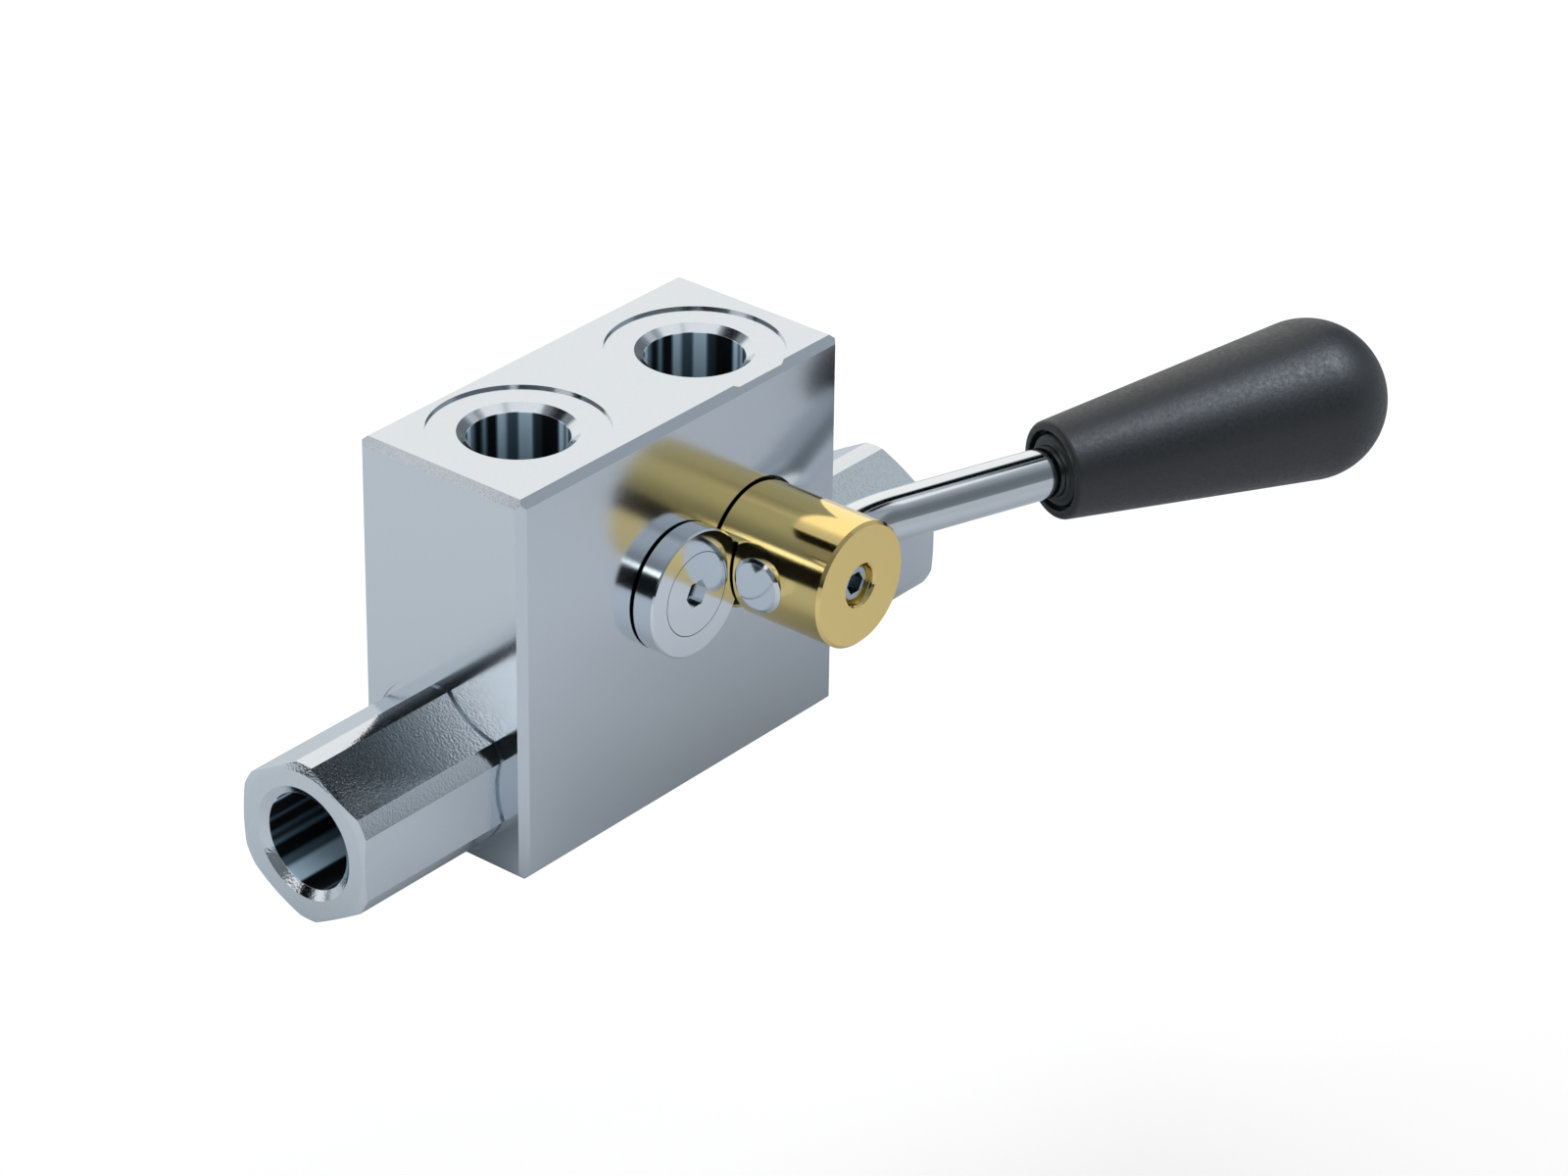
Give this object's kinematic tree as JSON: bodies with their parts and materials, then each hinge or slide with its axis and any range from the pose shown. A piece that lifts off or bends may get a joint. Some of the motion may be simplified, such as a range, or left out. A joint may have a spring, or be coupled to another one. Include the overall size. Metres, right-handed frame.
{
  "type": "hydraulic lock valve with lever shut-off",
  "caption": "Steel block double check lock valve with two hex port fittings, two top ports and a brass lever spindle.",
  "frame": {"origin": "centre of the block's bottom face", "axes": "+X towards the lever side along the side bores, -Y out of the face with the spindle, +Z out of the two top ports"},
  "size_m": [0.2326, 0.1002, 0.079],
  "materials": {
    "plated_steel": "bright plated, near mirror with a fine grain",
    "hardened_steel": "ground",
    "spring_steel": "drawn wire",
    "screw_steel": "zinc plated",
    "chrome": "polished",
    "brass": "turned, lightly brushed",
    "handle_plastic": "matt, dark blue-grey",
    "bush_plastic": "matt, near black",
    "nitrile": "smooth black",
    "ptfe": "off-white"
  },
  "bodies": {
    "valve_body": {"valve_block": "plated_steel", "left_port_fitting": "plated_steel", "right_port_fitting": "plated_steel", "left_fitting_seal": "nitrile", "right_fitting_seal": "nitrile", "left_seat_ring": "hardened_steel", "right_seat_ring": "hardened_steel", "retaining_disc": "plated_steel", "disc_screw": "screw_steel", "left_check_spring": "spring_steel", "right_check_spring": "spring_steel"},
    "left_poppet": {"left_check_poppet": "hardened_steel"},
    "right_poppet": {"right_check_poppet": "hardened_steel"},
    "pilot": {"pilot_piston": "hardened_steel", "piston_o_ring": "nitrile", "left_backup_ring": "ptfe", "right_backup_ring": "ptfe"},
    "lever": {"spindle": "brass", "spindle_front_o_ring": "nitrile", "spindle_front_backup_ring": "ptfe", "spindle_rear_o_ring": "nitrile", "lever_rod": "chrome", "lever_set_screw": "screw_steel", "lever_handle": "handle_plastic", "handle_bush": "bush_plastic"}
  },
  "joints": [
    {"name": "lever_turn", "type": "hinge", "parent": "valve_body", "child": "lever", "pos_m": [0.02, -0.02, 0.045], "axis": [0, 1, 0], "range_deg": [0, 90]},
    {"name": "left_poppet_lift", "type": "slide", "parent": "valve_body", "child": "left_poppet", "axis": [-1, 0, 0], "range_m": [0, 0.004], "stiffness_N_per_m": 600, "springref_m": -0.0065, "deforming": ["left_check_spring"]},
    {"name": "right_poppet_lift", "type": "slide", "parent": "valve_body", "child": "right_poppet", "axis": [1, 0, 0], "range_m": [0, 0.004], "stiffness_N_per_m": 600, "springref_m": -0.0065, "deforming": ["right_check_spring"]},
    {"name": "pilot_slide", "type": "slide", "parent": "valve_body", "child": "pilot", "axis": [1, 0, 0], "range_m": [-0.0017, 0.0017]}
  ]
}
